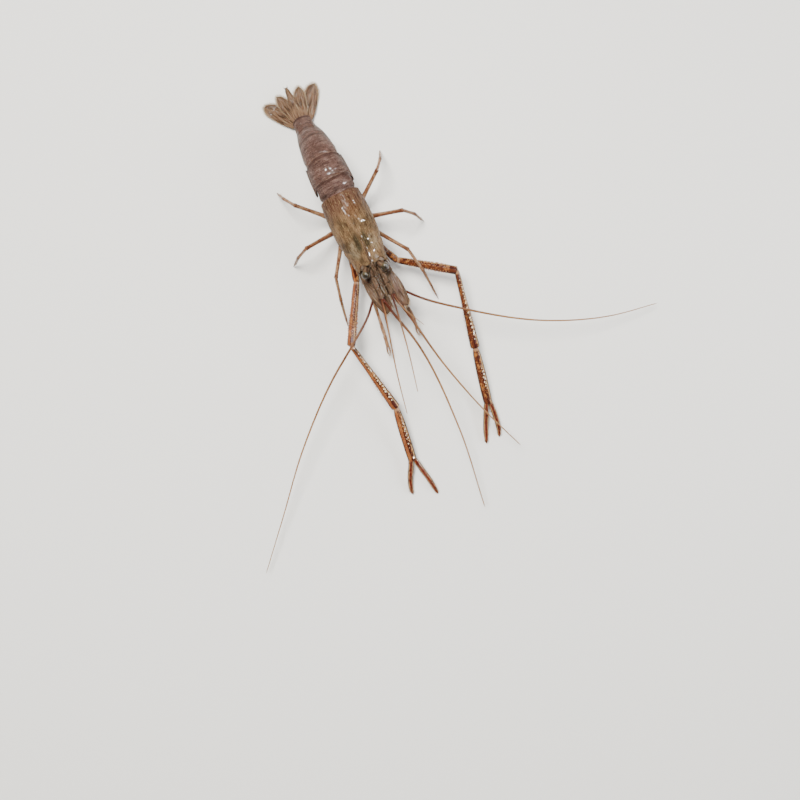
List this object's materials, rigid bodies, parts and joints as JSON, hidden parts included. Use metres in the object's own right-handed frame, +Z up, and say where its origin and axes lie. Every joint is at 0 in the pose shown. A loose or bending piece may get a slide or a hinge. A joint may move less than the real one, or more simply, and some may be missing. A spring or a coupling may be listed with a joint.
{
  "type": "oriental river prawn",
  "caption": "Life-size still model of an oriental river prawn, standing on its walking legs with long clawed arms and feelers reaching forward.",
  "frame": {"origin": "on the floor, under the middle of the whole model's box", "axes": "+Z up, the head points to -Y and the animal's left side is +X"},
  "size_m": [0.1242, 0.1222, 0.0205],
  "materials": {
    "olive_shell": "wet olive-tan shell with fine dark streaks",
    "tail_shell": "wet mauve-brown shell, finely speckled",
    "arm_shell": "dark red-brown shell mottled with orange",
    "leg_shell": "translucent tan shell banded with red-brown",
    "feeler": "fine ringed feeler, red-brown to straw",
    "thin_shell": "thin translucent shell with ribs",
    "eye": "glossy dark eye with a gold mottle"
  },
  "bodies": {
    "root": {"antenna_left_root": "olive_shell", "antenna_left_whip_far": "feeler", "antenna_left_whip_near": "feeler", "antenna_right_root": "olive_shell", "antenna_right_whip_far": "feeler", "antenna_right_whip_near": "feeler", "antennule_left": "feeler", "antennule_right": "feeler", "arm_left_finger": "arm_shell", "arm_left_forearm": "arm_shell", "arm_left_palm": "arm_shell", "arm_left_upper": "arm_shell", "arm_right_finger": "arm_shell", "arm_right_forearm": "arm_shell", "arm_right_palm": "arm_shell", "arm_right_upper": "arm_shell", "carapace": "olive_shell", "eye_left": "eye", "eye_right": "eye", "jaw_leg_left": "leg_shell", "jaw_leg_right": "leg_shell", "leg1_left": "leg_shell", "leg1_right": "leg_shell", "leg3_left_shank": "leg_shell", "leg3_left_thigh": "leg_shell", "leg3_right_shank": "leg_shell", "leg3_right_thigh": "leg_shell", "leg4_left_shank": "leg_shell", "leg4_left_thigh": "leg_shell", "leg4_right_shank": "leg_shell", "leg4_right_thigh": "leg_shell", "leg5_left_shank": "leg_shell", "leg5_left_thigh": "leg_shell", "leg5_right_shank": "leg_shell", "leg5_right_thigh": "leg_shell", "scale_left": "thin_shell", "scale_right": "thin_shell", "swimmeret_1_left": "thin_shell", "swimmeret_1_right": "thin_shell", "swimmeret_2_left": "thin_shell", "swimmeret_2_right": "thin_shell", "swimmeret_3_left": "thin_shell", "swimmeret_3_right": "thin_shell", "swimmeret_4_left": "thin_shell", "swimmeret_4_right": "thin_shell", "swimmeret_5_left": "thin_shell", "swimmeret_5_right": "thin_shell", "tail_fan_left_inner": "thin_shell", "tail_fan_left_outer": "thin_shell", "tail_fan_right_inner": "thin_shell", "tail_fan_right_outer": "thin_shell", "tail_ring_1": "tail_shell", "tail_ring_2": "tail_shell", "tail_ring_3": "tail_shell", "tail_ring_4": "tail_shell", "tail_ring_5": "tail_shell", "tail_ring_6": "tail_shell", "tail_spike": "thin_shell", "thorax": "leg_shell"}
  },
  "joints": []
}
